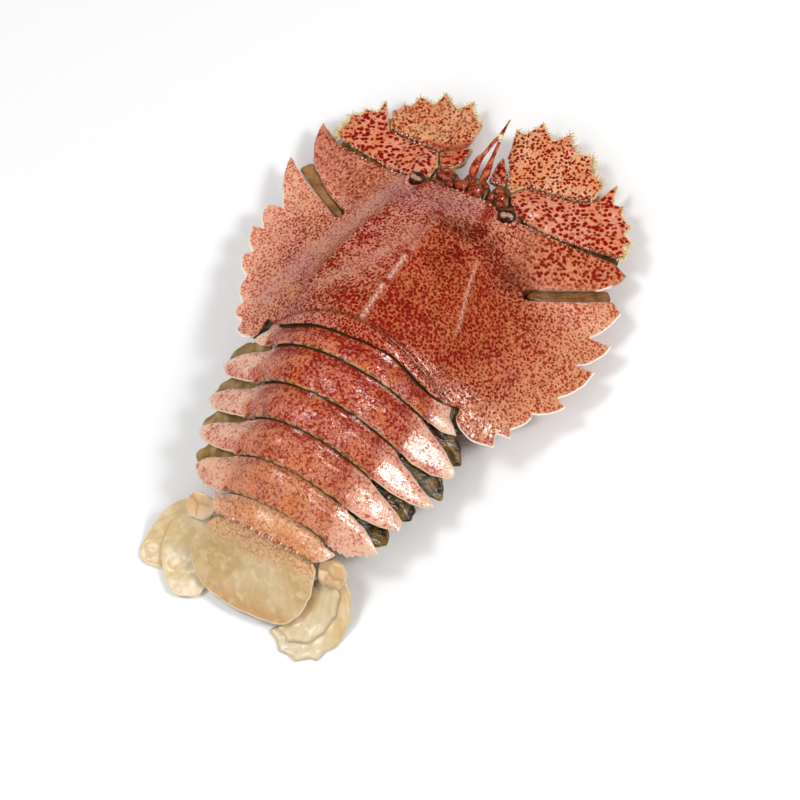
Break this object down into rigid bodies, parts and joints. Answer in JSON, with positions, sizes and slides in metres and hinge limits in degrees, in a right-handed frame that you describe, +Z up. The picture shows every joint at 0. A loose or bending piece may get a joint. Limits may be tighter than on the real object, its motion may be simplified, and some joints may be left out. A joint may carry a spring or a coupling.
{
  "type": "fan lobster",
  "caption": "Whole flat fan lobster with a broad toothed carapace, plate-like antennae, overlapping back plates and an open tail fan, lying on its chest.",
  "frame": {"origin": "on the table, under the middle of the animal's length and width", "axes": "+Y towards the head, +X to the animal's right, +Z up out of its back"},
  "size_m": [0.1036, 0.156, 0.0343],
  "materials": {
    "shell": "wet salmon shell speckled dark red",
    "back": "wet dark red and pink plates",
    "antenna": "wet orange shell with large red spots",
    "tail": "wet translucent cream",
    "skin": "wet olive brown skin",
    "flesh": "wet olive flesh",
    "leg": "wet banded orange",
    "eye": "wet beige"
  },
  "bodies": {
    "root": {"carapace": "shell", "cleft_skin_right": "skin", "cleft_skin_left": "skin", "tergite_1": "back", "tergite_2": "back", "tergite_3": "back", "tergite_4": "back", "tergite_5": "back", "tergite_6": "back", "abdomen_flesh": "flesh", "swimmeret_right_1": "flesh", "swimmeret_right_2": "flesh", "swimmeret_right_3": "flesh", "swimmeret_right_4": "flesh", "swimmeret_left_1": "flesh", "swimmeret_left_2": "flesh", "swimmeret_left_3": "flesh", "swimmeret_left_4": "flesh", "telson": "tail", "protopod_left": "tail", "endopod_left": "tail", "exopod_left": "tail", "protopod_right": "tail", "endopod_right": "tail", "exopod_right": "tail", "antenna_broad_left": "antenna", "antenna_fan_left": "antenna", "antenna_inner_left": "antenna", "antenna_broad_right": "antenna", "antenna_fan_right": "antenna", "antenna_inner_right": "antenna", "antenna_stalk_left": "antenna", "antennule_stalk": "antenna", "antenna_stalk_right": "antenna", "antennule_left": "antenna", "antennule_right": "antenna", "eye_right": "eye", "eye_left": "eye", "sternum": "leg", "leg_right_1": "leg", "leg_left_1": "leg", "leg_right_2": "leg", "leg_left_2": "leg", "leg_right_3": "leg", "leg_left_3": "leg", "leg_right_4": "leg", "leg_left_4": "leg", "leg_right_5": "leg", "leg_left_5": "leg"}
  },
  "joints": []
}
